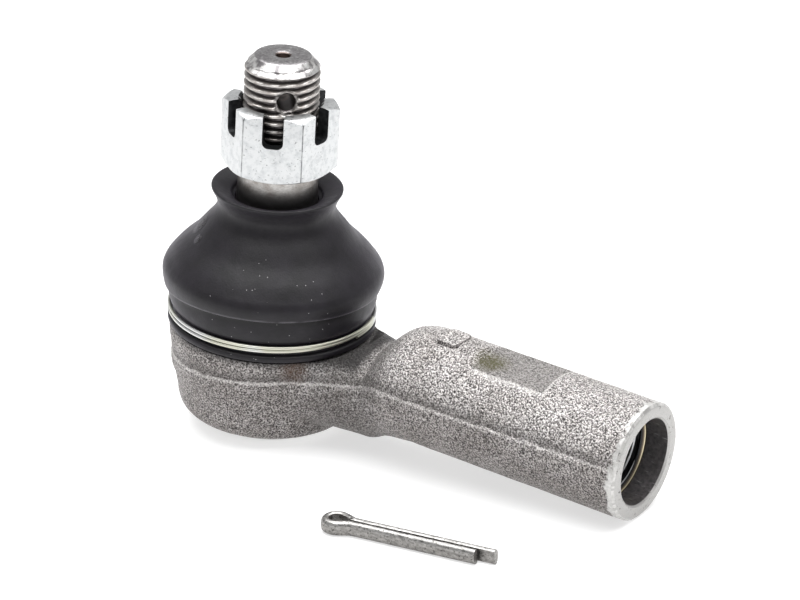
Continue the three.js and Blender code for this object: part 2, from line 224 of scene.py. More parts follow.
def make_object(name, points, faces):
    """A mesh object from points in millimetres."""
    mesh = bpy.data.meshes.new(name)
    mesh.from_pydata([tuple(c * MM for c in p) for p in points], [], faces)
    mesh.update()
    made = bpy.data.objects.new(name, mesh)
    bpy.context.scene.collection.objects.link(made)
    return made


def skin(name, rings, looped=False):
    """A closed skin over rings of points; a looped one joins its last ring to its first."""
    count = len(rings[0])
    points = [p for ring in rings for p in ring]
    faces = []
    spans = len(rings) if looped else len(rings) - 1
    for i in range(spans):
        low = i * count
        high = ((i + 1) % len(rings)) * count
        for j in range(count):
            nxt = (j + 1) % count
            faces.append((low + j, low + nxt, high + nxt, high + j))
    if not looped:
        faces.append(tuple(reversed(range(count))))
        last = (len(rings) - 1) * count
        faces.append(tuple(range(last, last + count)))
    return make_object(name, points, faces)


def turned(name, stations, segments, axis="Z"):
    """A solid of revolution. Each station is (radius, place); a radius can be a function of angle.
    Stations that start and end at radius 0 make a solid with capped ends, others a closed loop."""
    tiny = 1e-4
    looped = callable(stations[0][0]) or stations[0][0] > tiny
    rings = []
    for radius, place in stations:
        ring = []
        for angle in around(segments):
            r = radius(angle) if callable(radius) else max(radius, tiny)
            across, up = r * math.cos(angle), r * math.sin(angle)
            ring.append((across, up, place) if axis == "Z" else (place, across, up))
        rings.append(ring)
    return skin(name, rings, looped)


def apply_modifiers(obj):
    """Bakes the object's modifiers into its mesh."""
    graph = bpy.context.evaluated_depsgraph_get()
    done = bpy.data.meshes.new_from_object(obj.evaluated_get(graph))
    obj.modifiers.clear()
    obj.data = done
    return obj


def boolean(obj, tool, operation):
    """Cuts, joins or intersects obj with tool, and removes the tool."""
    step = obj.modifiers.new("boolean", "BOOLEAN")
    step.operation = operation
    step.solver = "MANIFOLD"
    step.object = tool
    bpy.context.view_layer.update()
    apply_modifiers(obj)
    bpy.data.objects.remove(tool)
    return obj


def shade(obj, degrees=35):
    """Smooth shading with sharp edges where the surface turns by more than this."""
    obj.data.shade_smooth()
    obj.data.set_sharp_from_angle(angle=math.radians(degrees))
    return obj


def wear(obj, *materials):
    """Gives the object these materials and no others."""
    obj.data.materials.clear()
    for material in materials:
        obj.data.materials.append(material)


def slab(name, outline, low, high, axis="Y"):
    """An outline in (x, z) extruded along Y, or in (x, y) extruded along Z."""
    if axis == "Z":
        return skin(name, [[(a, b, place) for a, b in outline] for place in (low, high)])
    made = skin(name, [[(a, place, b) for a, b in outline] for place in (low, high)])
    made.data.flip_normals()
    return made


def thread_depth(phase, crest=0.26, root=0.14):
    """0 on a thread's crest and 1 in its root; the crest is at phase 0.5."""
    away = abs((phase % 1.0) - 0.5) * 2
    return min(max((away - crest) / (1 - crest - root), 0.0), 1.0)


# ------------ material helpers

class Value:
    """A shader value. Arithmetic on it adds maths nodes, and a comparison gives 1 or 0."""

    def __init__(self, socket):
        self.socket = socket

    def __add__(self, other):
        return maths("ADD", self, other)

    def __sub__(self, other):
        return maths("SUBTRACT", self, other)

    def __rsub__(self, other):
        return maths("SUBTRACT", other, self)

    def __mul__(self, other):
        return maths("MULTIPLY", self, other)

    def __truediv__(self, other):
        return maths("DIVIDE", self, other)

    def __lt__(self, other):
        return maths("LESS_THAN", self, other)

    def __gt__(self, other):
        return maths("GREATER_THAN", self, other)

    def __abs__(self):
        return maths("ABSOLUTE", self)

    def clamped(self):
        """Keeps the last operation's result between 0 and 1."""
        self.socket.node.use_clamp = True
        return self

    def band(self, sharpness):
        """1 where the value is 0, falling to 0 at 1 / sharpness on either side."""
        return (1.0 - abs(self) * sharpness).clamped()


def feed(source, socket):
    """Links a shader value to a socket, or sets the socket to a number, vector or colour."""
    if isinstance(source, Value):
        socket.id_data.links.new(source.socket, socket)
    elif socket.type == "RGBA":
        socket.default_value = (*source, 1.0)
    else:
        socket.default_value = source


def maths(operation, *operands):
    """A maths node fed with shader values and numbers."""
    tree = next(value.socket.id_data for value in operands if isinstance(value, Value))
    node = tree.nodes.new("ShaderNodeMath")
    node.operation = operation
    for socket, operand in zip(node.inputs, operands):
        feed(operand, socket)
    return Value(node.outputs["Value"])


class Shader:
    """A principled material with short calls for the nodes that these finishes need.
    In its settings and a node's inputs, an underscore stands for a space."""

    def __init__(self, name, **settings):
        self.material = bpy.data.materials.new(name)
        self.material.use_nodes = True
        self.tree = self.material.node_tree
        self.bsdf = self.tree.nodes["Principled BSDF"]
        for setting, value in settings.items():
            feed(value, self.bsdf.inputs[setting.replace("_", " ")])
        self.place = self.node("TexCoord", "Object")

    def node(self, kind, output, **inputs):
        """Adds a node, feeds its inputs, and gives one of its outputs."""
        made = self.tree.nodes.new("ShaderNode" + kind)
        for name, source in inputs.items():
            feed(source, made.inputs[name.replace("_", " ")])
        return Value(made.outputs[output])

    def noise(self, size_mm, detail=2.0, roughness=0.5, stretch=None):
        """Noise whose grain is about size_mm across."""
        place = self.place
        if stretch:
            place = self.node("Mapping", "Vector", Vector=place, Scale=stretch)
        return self.node("TexNoise", "Fac", Vector=place, Scale=1 / (size_mm * MM), Detail=detail,
                         Roughness=roughness)

    def cells(self, size_mm):
        """Distance from the nearest of a scatter of points about size_mm apart."""
        return self.node("TexVoronoi", "Distance", Vector=self.place, Scale=1 / (size_mm * MM))

    def rings(self, radius, size_mm):
        """Fine concentric tool marks about an axis."""
        marks = self.node("TexNoise", "Fac", Detail=2.0)
        marks.socket.node.noise_dimensions = "1D"
        feed(radius / size_mm, marks.socket.node.inputs["W"])
        return marks

    def ramp(self, source, *stops):
        """A colour ramp; each stop is (position, grey or colour)."""
        made = self.node("ValToRGB", "Color", Fac=source)
        elements = made.socket.node.color_ramp.elements
        while len(elements) < len(stops):
            elements.new(1.0)
        for element, (position, colour) in zip(elements, stops):
            if not isinstance(colour, tuple):
                colour = (colour,) * 3
            element.position = position
            element.color = (*colour, 1.0)
        return made

    def mix(self, factor, a, b, blend="MIX"):
        """Colour a where the factor is 0, and b over it where the factor is 1."""
        node = self.tree.nodes.new("ShaderNodeMix")
        node.data_type = "RGBA"
        node.blend_type = blend
        sockets = {socket.identifier: socket for socket in node.inputs}
        for key, source in (("Factor_Float", factor), ("A_Color", a), ("B_Color", b)):
            feed(source, sockets[key])
        return Value(next(s for s in node.outputs if s.identifier == "Result_Color"))

    def tint(self, a, b):
        """One colour multiplied by the other."""
        return self.mix(1.0, a, b, "MULTIPLY")

    def axis(self, name):
        """One coordinate of the place, in millimetres."""
        return self.node("SeparateXYZ", name, Vector=self.place) / MM

    def from_axis(self, along):
        """Distance from the stud's axis (Z) or the shank's axis (X), in millimetres."""
        a, b = (self.axis(name) for name in "XYZ" if name != along)
        return maths("SQRT", a * a + b * b)

    def facing_up(self):
        """1 where the surface faces up the stud, 0 where it faces down."""
        normal = self.node("TexCoord", "Normal")
        return ((self.node("SeparateXYZ", "Z", Vector=normal) + 1.0) * 0.5).clamped()

    def step(self, source, low, high):
        """Smooth step: 0 at low and 1 at high, whichever of them is larger."""
        made = self.node("MapRange", "Result", Value=source, From_Min=low, From_Max=high)
        made.socket.node.interpolation_type = "SMOOTHSTEP"
        return made

    def spot(self, centre, reach):
        """1 at a point, falling to 0 at reach millimetres from it."""
        node = self.tree.nodes.new("ShaderNodeVectorMath")
        node.operation = "DISTANCE"
        feed(self.place, node.inputs[0])
        feed(tuple(c * MM for c in centre), node.inputs[1])
        return (1.0 - Value(node.outputs["Value"]) / (reach * MM)).clamped()

    def colour(self, source):
        feed(source, self.bsdf.inputs["Base Color"])

    def roughness(self, source, low, high):
        feed(self.node("MapRange", "Result", Value=source, To_Min=low, To_Max=high),
             self.bsdf.inputs["Roughness"])

    def bump(self, *layers):
        """Bumps one over another; each layer is (height source, depth in millimetres)."""
        below = {}
        for height, depth in layers:
            normal = self.node("Bump", "Normal", Height=height, Distance=depth * MM, **below)
            below = {"Normal": normal}
        feed(normal, self.bsdf.inputs["Normal"])


# ------------ materials

def mark_flat(s, steel, grain):
    """The spanner flat: a finer, greyer grain, with a painted highlight as a light rim along its edges."""
    x, z = s.axis("X"), s.axis("Z")
    beside_flat = s.step(x, FLAT_START - 1.8, FLAT_START - 1.0) * (x < FLAT_END + 0.7)
    # Painted highlight: a light rim along the flat's edge and at its end step.
    rim = s.step(z, FLAT_Z - 1.0, FLAT_Z - 0.4) * beside_flat
    steel = s.mix(rim * 0.34, steel, (0.86, 0.84, 0.82))
    on_flat = s.step(z, FLAT_Z - 0.3, FLAT_Z - 0.15) * (x < FLAT_END + 0.1) * beside_flat
    struck = s.ramp(grain, (0.37, (0.08, 0.075, 0.07)), (0.62, (0.42, 0.4, 0.39)))
    return s.mix(on_flat, steel, struck)


def paint_light_on_flash_line(s, steel):
    """The trimmed flash line: a painted highlight along its ledge, with a band of painted shade over it."""
    x = s.axis("X")
    head_line = x * HEAD_LINE[1] + HEAD_LINE[0]
    shank_line = x * SHANK_LINE[1] + SHANK_LINE[0]
    height = head_line + s.step(x, *LINE_RISE) * (shank_line - head_line)
    off_line = s.axis("Z") - height + (s.noise(1.3) - 0.5) * 0.9
    # Painted shade: a dark band just over the ledge.
    dark = s.step(off_line, 0.1, 0.5) * s.step(off_line, 2.6, 0.8)
    steel = s.mix(dark * 0.46, steel, (0.07, 0.065, 0.063))
    # Painted highlight: a light line along the ledge, fainter on the shank.
    ledge = off_line.band(2.6) * (0.5 - s.step(x, 20.0, 34.0) * 0.22)
    return s.mix(ledge, steel, (0.8, 0.775, 0.76))


def shade_neck(s, steel):
    """Painted shade on the neck, nearly black in the pocket beside the boot."""
    x = s.axis("X")
    # Painted shadow in the pocket under the boot's flange.
    pocket = s.step(s.from_axis("Z"), 26.6, 24.6) * s.step(s.axis("Z"), 0.0, 2.8)
    steel = s.mix(pocket * 0.93, steel, (0.015, 0.014, 0.015))
    # Painted shade round the neck.
    neck = s.step(x, 12.0, 21.0) * s.step(x, 35.0, 27.0)
    return s.mix(neck * 0.34, steel, (0.06, 0.056, 0.054))


def stain(s, steel, grain):
    """A dab of olive inspection paint on the shank and a rust stain on the head."""
    olive = s.spot(*OLIVE_DAB) * s.ramp(grain, (0.35, 1.0), (0.6, 0.35))
    steel = s.mix((olive * 2.2).clamped(), steel, (0.09, 0.084, 0.04))
    rust = s.spot(*RUST_STAIN) * s.noise(1.0, detail=3.0)
    return s.mix((rust * 1.5).clamped(), steel, (0.1, 0.055, 0.035))


def forged_steel():
    """Shot-blasted forging: a dense grain of light and dark dints, bare at its two ends."""
    s = Shader("forged_steel", Metallic=0.62)
    grain = s.noise(0.3, roughness=0.6)
    pits = s.cells(0.5)
    steel = s.ramp(grain, (0.37, (0.06, 0.054, 0.053)), (0.5, (0.39, 0.37, 0.362)),
                   (0.62, (0.92, 0.89, 0.88)))
    cloud = s.ramp(s.noise(7.0, detail=3.0), (0.3, (0.74, 0.725, 0.71)), (0.7, 1.0))
    steel = s.tint(steel, cloud)
    # Painted shade: darker where the surface faces down.
    steel = s.tint(steel, s.ramp(s.facing_up(), (0.35, (0.57, 0.556, 0.549)), (0.85, 1.0)))
    steel = mark_flat(s, steel, grain)
    steel = paint_light_on_flash_line(s, steel)
    steel = shade_neck(s, steel)
    steel = stain(s, steel, grain)
    past_edge = s.axis("X") - (SHANK_END - 1.75) + (s.noise(1.6, detail=3.0) - 0.5) * 5.0
    bare_foot = s.step(s.axis("Z"), FOOT_Z + 2.1, FOOT_Z + 1.5)
    bare = maths("MAXIMUM", (past_edge * 1.4).clamped(), bare_foot)
    bright = s.ramp(s.noise(0.6, detail=3.0), (0.3, (0.46, 0.455, 0.44)), (0.7, (0.66, 0.65, 0.64)))
    s.colour(s.mix(bare, steel, bright))
    s.roughness(grain, 0.58, 0.36)
    rough = 1.0 - bare * 0.75
    s.bump((pits * rough, 0.2), (grain * rough, 0.34), (s.noise(2.2, detail=1.0), 0.12))
    return s.material


def machined_steel():
    """Faced and turned surfaces: light, with fine circular tool marks and a few dark specks."""
    s = Shader("machined_steel", Metallic=0.9)
    marks = s.rings(s.from_axis("X"), 0.16)
    grain = s.noise(0.5, detail=3.0, roughness=0.6)
    steel = s.ramp(marks, (0.3, (0.36, 0.355, 0.345)), (0.7, (0.54, 0.53, 0.52)))
    specks = s.ramp(s.noise(0.7, detail=3.0), (0.3, (0.35, 0.34, 0.33)), (0.37, 1.0))
    s.colour(s.tint(steel, specks))
    s.roughness(grain, 0.36, 0.52)
    s.bump((marks, 0.02), (grain, 0.03))
    return s.material


def shaded_bore():
    """Inside of the shank: dark with painted shade, with light scratches, painted shade in the thread's
    roots and a painted highlight as a gleam on the step.
    """
    s = Shader("shaded_bore", Metallic=0.8)
    x = s.axis("X")
    step = SHANK_END - COUNTERBORE_DEPTH
    mist = s.noise(0.6, detail=3.0)
    # Painted shade: a dark wall inside the bore.
    wall = s.ramp(mist, (0.3, (0.16, 0.15, 0.155)), (0.75, (0.3, 0.285, 0.29)))
    scratches = s.ramp(s.noise(0.35, detail=3.0, stretch=(0.16, 1.0, 1.0)), (0.64, 0.0), (0.74, 1.0))
    wall = s.mix(scratches, wall, (0.62, 0.61, 0.62))
    # Painted highlight on the thread's crests and painted shade in its roots.
    crest = s.from_axis("X") < BORE_MINOR + 0.22
    thread = s.mix(crest, (0.03, 0.03, 0.032), (0.62, 0.62, 0.63))
    surface = s.mix(x < step - 0.15, wall, thread)
    off_step = x - (step + 0.05)
    surface = s.mix(off_step.band(2.6), surface, (0.16, 0.115, 0.06))
    # Painted highlight: a bright gold gleam along the step.
    s.colour(s.mix(off_step.band(9.0), surface, (0.95, 0.85, 0.58)))
    s.roughness(mist, 0.26, 0.46)
    s.bump((s.noise(0.5), 0.03))
    return s.material


def bright_zinc():
    """Zinc plate on the nut: nearly white, mottled, with dark specks, and thin dark lines on its corners
    that are a painted reflection.
    """
    s = Shader("bright_zinc", Metallic=0.9)
    mottle = s.noise(1.1, detail=4.0, roughness=0.6)
    plate = s.ramp(mottle, (0.3, (0.46, 0.475, 0.485)), (0.55, (0.61, 0.62, 0.625)))
    plate = s.tint(plate, s.ramp(s.noise(0.42, detail=3.0, roughness=0.6), (0.3, 0.3), (0.37, 1.0)))
    # Painted reflection: a thin dark line down each rounded corner of the hexagon.
    turn = maths("ARCTAN2", s.axis("Y"), s.axis("X")) - math.radians(NUT_CORNER_TURN - 360)
    from_corner = maths("PINGPONG", turn, math.radians(30)) * NUT_CORNER_RADIUS
    line = from_corner.band(5.5) * (s.from_axis("Z") > NUT_FLATS / 2 + 0.9)
    line = line * s.ramp(s.noise(1.4), (0.35, 0.35), (0.6, 1.0))
    s.colour(s.mix(line, plate, (0.1, 0.105, 0.11)))
    s.roughness(mottle, 0.26, 0.44)
    s.bump((s.noise(0.7, detail=3.0), 0.035), (s.noise(2.6, detail=1.0), 0.07))
    return s.material


def dark_recess():
    """Inside faces of the nut's slots and bore, nearly black with painted shade."""
    s = Shader("dark_recess", Metallic=0.7)
    film = s.noise(0.9, detail=3.0)
    # Painted shade: nearly black inside the slots and the bore.
    s.colour(s.ramp(film, (0.3, (0.012, 0.013, 0.014)), (0.7, (0.045, 0.047, 0.05))))
    s.roughness(film, 0.35, 0.55)
    s.bump((film, 0.03))
    return s.material


def wire_zinc():
    """The retaining ring's plating: white with a faint yellow-green cast that comes and goes."""
    s = Shader("wire_zinc", Metallic=0.9)
    cast = s.noise(11.0, detail=1.0)
    s.colour(s.ramp(cast, (0.42, (0.66, 0.665, 0.66)), (0.58, (0.6, 0.6, 0.51))))
    s.roughness(cast, 0.28, 0.38)
    s.bump((s.noise(0.9, detail=1.0), 0.002))
    return s.material


def stud_steel():
    """Turned and rolled stud: bright crests, painted shade in the thread roots and inside the nut below its
    crown, a ground taper that is darker towards the bottom.
    """
    s = Shader("stud_steel", Metallic=0.95)
    z = s.axis("Z")
    radius = s.from_axis("Z")
    streaks = s.noise(0.5, detail=4.0, roughness=0.65, stretch=(1.0, 1.0, 5.0))
    steel = s.ramp(streaks, (0.3, (0.36, 0.345, 0.33)), (0.7, (0.66, 0.64, 0.62)))
    grime = s.ramp(s.noise(2.2, detail=4.0, roughness=0.6), (0.38, (0.66, 0.63, 0.61)), (0.6, 1.0))
    steel = s.tint(steel, grime)
    # Darker towards the bottom of the taper.
    steel = s.mix(s.step(z, TAPER_TOP - 2.6, TAPER_TOP - 5.4), steel, (0.2, 0.19, 0.19))
    facets = s.noise(1.9, detail=3.0, roughness=0.6, stretch=(1.0, 1.0, 0.1))
    chamfer = s.ramp(facets, (0.4, (0.22, 0.21, 0.215)), (0.54, (0.7, 0.69, 0.68)), (0.7, 0.85))
    below_chamfer = z < STUD_TOP - 2.1
    steel = s.mix(1.0 - below_chamfer, steel, chamfer)
    in_thread = z > THREAD_START - 0.8
    # Painted shade in the thread's roots.
    depth = ((STUD_THREAD_RADIUS - 0.05 - radius) * (1.5 / THREAD_DEPTH)).clamped()
    steel = s.mix(depth * in_thread * below_chamfer, steel, (0.12, 0.11, 0.11))
    # Painted shade on the thread inside the nut, below its crown.
    under_crown = s.step(z, NUT_HIGH.z - 1.5, NUT_HIGH.z - 3.0) * in_thread
    steel = s.mix(under_crown * 0.6, steel, (0.04, 0.038, 0.038))
    dull_top = s.ramp(s.noise(0.45, detail=3.0), (0.3, (0.19, 0.18, 0.185)),
                      (0.62, (0.36, 0.35, 0.355)), (0.72, (0.62, 0.61, 0.62)))
    steel = s.mix(z > STUD_TOP - 0.1, steel, dull_top)
    drilled = (radius < 1.7) * s.step(z, STUD_TOP - 0.02, STUD_TOP - 0.1)
    rust = s.ramp(radius, (0.3, (0.05, 0.035, 0.03)), (1.0, (0.16, 0.13, 0.12)))
    s.colour(s.mix(drilled, steel, rust))
    s.roughness(streaks, 0.24, 0.42)
    s.bump((streaks, 0.02), (s.noise(1.2), 0.03))
    return s.material


def drawn_wire():
    """The cotter pin: dull drawn steel with small dark pits and lengthwise marks, and painted shade where
    it does not face up.
    """
    s = Shader("drawn_wire", Metallic=0.95)
    marks = s.noise(0.4, detail=4.0, roughness=0.65, stretch=(0.35, 1.0, 1.0))
    wire = s.ramp(marks, (0.32, (0.2, 0.196, 0.19)), (0.66, (0.54, 0.53, 0.517)))
    wire = s.tint(wire, s.ramp(s.noise(0.36), (0.33, (0.3, 0.3, 0.29)), (0.42, 1.0)))
    # Painted shade: darker where the wire does not face up.
    side_shade = s.ramp(s.facing_up(), (0.5, (0.6, 0.59, 0.58)), (0.8, 1.0))
    s.colour(s.tint(wire, side_shade))
    s.roughness(marks, 0.3, 0.46)
    s.bump((marks, 0.03), (s.noise(0.8), 0.03))
    return s.material


def shade_fold(s, rubber):
    """Painted shade under the boot's fold and a painted highlight along its edge, sagging as crease_shift
    does.
    """
    front = math.radians(FRONT_OF_BOOT)
    across = s.axis("Y") * math.cos(front) - s.axis("X") * math.sin(front)
    side = across / s.from_axis("Z")
    sag = (CREASE_SAG - side * CREASE_LEAN) * maths("POWER", abs(side), 3.0)
    off_fold = s.axis("Z") + sag - CREASE_Z
    # Painted shadow under the fold.
    under = s.step(off_fold, -1.6, -0.4) * s.step(off_fold, 0.0, -0.1)
    rubber = s.mix(under, rubber, (0.002, 0.002, 0.0024))
    # Painted highlight along the fold's edge.
    lit_edge = off_fold.band(2.4) * s.ramp(s.noise(3.0), (0.35, 0.2), (0.6, 1.0))
    return s.mix(lit_edge, rubber, (0.085, 0.08, 0.09))


def boot_rubber():
    """Moulded black rubber: satin with a violet cast, scuffed, under a scatter of pale dust."""
    s = Shader("boot_rubber", Metallic=0.0, Specular_IOR_Level=0.31, Sheen_Weight=0.12,
               Sheen_Roughness=0.4, Sheen_Tint=(0.8, 0.74, 0.92))
    bloom = s.noise(4.5, detail=4.0, roughness=0.6)
    rubber = s.ramp(bloom, (0.3, (0.0046, 0.004, 0.0054)), (0.72, (0.0125, 0.0108, 0.0145)))
    rubber = shade_fold(s, rubber)
    dust = (s.cells(1.1) < 0.085) * (s.noise(1.9) > 0.49) * (s.spot(*DUSTY_SIDE) > 0.2)
    rubber = s.mix(dust, rubber, (0.3, 0.29, 0.3))
    s.roughness(s.noise(2.5, detail=4.0, roughness=0.6), 0.36, 0.58)
    layers = [(s.noise(0.3), 0.02), (s.noise(2.4), 0.06)]
    ragged = s.noise(0.55, detail=4.0, roughness=0.7)
    for centre, reach in SCUFFS:
        near = s.spot(centre, reach)
        flake = s.step(near, 0.0, 0.5) * s.ramp(ragged, (0.52, 0.0), (0.57, 1.0))
        rubber = s.mix(flake * 0.5, rubber, (0.1, 0.095, 0.1))
        layers.append((near * near * ragged, 2.4))
    s.colour(rubber)
    s.bump(*layers)
    return s.material


def pressed_steel():
    """The end cover's sheet steel under a film of oil."""
    s = Shader("pressed_steel", Metallic=0.9)
    cloud = s.noise(3.0, detail=4.0)
    s.colour(s.ramp(cloud, (0.3, (0.2, 0.195, 0.185)), (0.7, (0.42, 0.41, 0.395))))
    s.roughness(cloud, 0.28, 0.48)
    s.bump((s.noise(0.6, detail=3.0), 0.03))
    return s.material


def dark_spring():
    """Tempered spring wire, blue-black."""
    s = Shader("dark_spring", Metallic=0.9)
    scale = s.noise(0.8, detail=3.0)
    s.colour(s.ramp(scale, (0.3, (0.035, 0.037, 0.045)), (0.7, (0.12, 0.12, 0.13))))
    s.roughness(scale, 0.3, 0.45)
    s.bump((scale, 0.02))
    return s.material


def seat_resin():
    """Cream moulded resin with a film of grease."""
    s = Shader("seat_resin", Metallic=0.0, Subsurface_Weight=0.1, Subsurface_Radius=(0.001, 0.0009, 0.0007))
    swirl = s.noise(4.0, detail=3.0)
    s.colour(s.ramp(swirl, (0.3, (0.68, 0.62, 0.48)), (0.7, (0.84, 0.8, 0.7))))
    s.roughness(swirl, 0.25, 0.45)
    s.bump((s.noise(0.7), 0.02))
    return s.material


def lit_white_table():
    """The white surface under the part, lit from below."""
    s = Shader("lit_white_table", Metallic=0.0, Roughness=0.9, Emission_Strength=0.6,
               Emission_Color=(1.0, 1.0, 1.0))
    s.colour(s.ramp(s.noise(40.0), (0.3, 0.49), (0.7, 0.51)))
    return s.material


# ------------ housing

def head_blank():
    """Outside of the head up to the machined shoulder, as forged."""
    side = smooth_curve([
        (14.8, -15.75), (15.9, -15.0), (16.7, -13.8), (17.1, -12.4), (17.3, -11.0), (18.3, -5.5),
        (HEAD_RADIUS, 0.0),
    ], 30)
    top = SHOULDER_Z + 1.2
    profile = [(0.0, -15.9), (13.3, -15.95)] + side + [(HEAD_RADIUS, top), (0.0, top)]
    return turned("head_blank", profile, 128)


def bar_blank():
    """Neck and shank: oval sections (x, height of centre, half height, half width)."""
    sections = smooth_curve([
        (6.0, -3.2, 12.0, 14.0), (13.0, -3.5, 11.0, 13.2), (16.0, -3.6, 10.4, 12.2),
        (18.5, -3.72, 9.85, 11.0), (21.5, -3.95, 9.6, 9.95), (24.5, -4.15, 9.3, 9.35),
        (26.3, -4.3, 9.1, 9.1), (27.6, -3.3, 9.5, 9.5), (29.1, -2.1, 9.9, 9.9),
        (30.8, -1.1, 10.4, 10.4), (32.4, -0.5, 10.75, 10.75), (34.2, -0.2, 10.9, 10.9),
        (SHANK_START, 0.0, SHANK_RADIUS, SHANK_RADIUS),
    ], 60)
    sections.append((SHANK_END + 1.5, 0.0, SHANK_RADIUS, SHANK_RADIUS))
    rings = []
    for x, z, high, wide in sections:
        rings.append([(x, wide * math.cos(angle), z + high * math.sin(angle)) for angle in around(96)])
    return skin("bar_blank", rings)


def flat_cutter(side):
    """One spanner flat: a crisp step at the shank's end, a short run-out towards the neck."""
    middle = (FLAT_RUN_OUT + FLAT_START) / 2
    outline = [
        (FLAT_RUN_OUT, 11.0), (middle, FLAT_Z + 0.28), (FLAT_START, FLAT_Z), (FLAT_END, FLAT_Z),
        (FLAT_END + 0.25, FLAT_Z + 1.6), (FLAT_RUN_OUT, FLAT_Z + 3.2),
    ]
    outline = [(x, side * z) for x, z in outline]
    if side < 0:
        outline.reverse()
    return slab("flat_cutter", outline, -12.0, 12.0)


def blank_pad():
    """A plain raised pad on top of the shank, as forgings carry."""
    half_x, half_y, corner = 2.2, 2.9, 0.9
    outline = []
    for quarter, (sx, sy) in enumerate(((1, 1), (-1, 1), (-1, -1), (1, -1))):
        centre = (40.4 + sx * (half_x - corner), sy * (half_y - corner))
        outline += arc(*centre, corner, 90 * quarter, 90 * quarter + 90, 5)
    return slab("blank_pad", outline, 8.0, SHANK_RADIUS + 0.3, axis="Z")


def parting_height(x):
    """Height of the forging's flash line at x: low round the head, rising onto the shank."""
    low, high = (start + slope * x for start, slope in (HEAD_LINE, SHANK_LINE))
    return low + (high - low) * smoothstep(*LINE_RISE, x)


def forge_surface(blank):
    """Raises the trimmed flash line and the slight unevenness of a hot forging."""
    as_forged = [(v.co.copy(), v.normal.copy()) for v in blank.data.vertices]
    moved = []
    for place, normal in as_forged:
        p = place / MM
        on_head = 1 - smoothstep(18.0, 26.0, p.x)
        below = parting_height(p.x) - p.z + 0.22 * noise.noise(p * 0.8)
        fade = 0.8 + 1.2 * on_head
        ledge = smoothstep(-0.2, 0.2, below) * (1 - smoothstep(fade, 2.2 * fade, below))
        sideways = smoothstep(0.5, 0.85, math.hypot(normal.x, normal.y))
        wobble = 0.9 + 0.5 * noise.noise(p * 0.35)
        raised = ledge * sideways * wobble * (0.2 + 0.18 * on_head)
        uneven = 0.05 * noise.noise(p * 0.28) + 0.03 * noise.noise(p * 0.9)
        moved.extend(place + normal * (raised + uneven) * MM)
    blank.data.vertices.foreach_set("co", moved)
    blank.data.update()


def threaded_bore():
    """Cutter for the shank's bore: counterbore, thread and drilled end."""
    step = SHANK_END - COUNTERBORE_DEPTH
    depth = 0.8
    entry_radius = BORE_MINOR + 0.75

    def wall(place):
        def radius(angle):
            phase = place / THREAD_PITCH - angle / (2 * math.pi)
            cut = BORE_MINOR + depth - depth * thread_depth(phase)
            entry = max(cut, entry_radius - (step - place))
            return BORE_MINOR + (entry - BORE_MINOR) * smoothstep(BORE_BOTTOM, BORE_BOTTOM + 2, place)
        return radius

    rows_per_pitch = 12
    rows = int((step - BORE_BOTTOM) / THREAD_PITCH * rows_per_pitch)
    stations = [(0.0, BORE_TIP), (BORE_MINOR, BORE_BOTTOM)]
    for i in range(1, rows):
        place = BORE_BOTTOM + (step - BORE_BOTTOM) * i / rows
        stations.append((wall(place), place))
    stations += [
        (entry_radius, step - 0.02),
        (COUNTERBORE_RADIUS - 0.1, step),
        (COUNTERBORE_RADIUS, step + 0.1),
        (COUNTERBORE_RADIUS, SHANK_END - 0.35),
        (COUNTERBORE_RADIUS + 0.37, SHANK_END),
        (COUNTERBORE_RADIUS + 0.6, SHANK_END + 2.5),
        (0.0, SHANK_END + 2.5),
    ]
    return turned("bore_cutter", stations, 128, axis="X")


def facing_cutter():
    """Faces the shank's end and turns its outer chamfer."""
    return turned("facing_cutter", [
        (0.0, SHANK_END), (10.25, SHANK_END), (10.45, SHANK_END - 0.1), (12.2, SHANK_END - 1.6),
        (15.0, SHANK_END - 1.6), (15.0, SHANK_END + 4), (0.0, SHANK_END + 4),
    ], 160, axis="X")


def head_cavity():
    """Space for the ball, seats and spring, with the staked lip round the end cover."""
    mouth = math.degrees(math.acos(MOUTH_RADIUS / CAVITY_RADIUS))
    profile = [
        (0.0, FOOT_Z - 2), (11.6, FOOT_Z - 2), (11.6, FOOT_Z), (11.3, FOOT_Z + 0.3),
        (11.3, -15.3), (13.9, -15.3), (13.9, -13.3), (CAVITY_RADIUS, -13.3),
    ]
    profile += arc(0, 0, CAVITY_RADIUS, 0, mouth, 16)
    profile += [
        (MOUTH_RADIUS, 9.4), (11.0, COLLAR_TOP + 0.1), (11.0, COLLAR_TOP + 2), (0.0, COLLAR_TOP + 2),
    ]
    return turned("cavity_cutter", profile, 128)


def staked_rim():
    """Smooth rolled lip under the head."""
    return turned("staked_rim", [
        (0.0, FOOT_Z), (FOOT_RADIUS - 0.25, FOOT_Z), (FOOT_RADIUS - 0.05, FOOT_Z + 0.25),
        (FOOT_RADIUS, -16.6), (12.75, -16.25), (13.0, -16.0), (13.0, -14.5), (0.0, -14.5),
    ], 160)


def boot_pocket():
    """Hollows the top of the neck so that it falls away to the boot's flange."""
    slope = smooth_curve([(20.0, 2.0), (20.7, 2.5), (22.5, 4.0), (24.4, 6.2), (25.4, 9.0)], 24)
    return turned("pocket_cutter", [(12.0, SHOULDER_Z)] + slope + [(25.4, 20.0), (12.0, 20.0)], 160)


def boot_collar():
    """The machined collar with the groove that the boot is clamped in."""
    return turned("collar", [
        (12.5, SHOULDER_Z - 2), (COLLAR_RADIUS, SHOULDER_Z - 2), (COLLAR_RADIUS, 3.9), (16.0, 3.9),
        (16.0, 5.8), (COLLAR_RADIUS, 5.8), (COLLAR_RADIUS, COLLAR_TOP - 1),
        (COLLAR_RADIUS - 1, COLLAR_TOP), (10.0, COLLAR_TOP), (10.0, 6.0),
    ], 128)


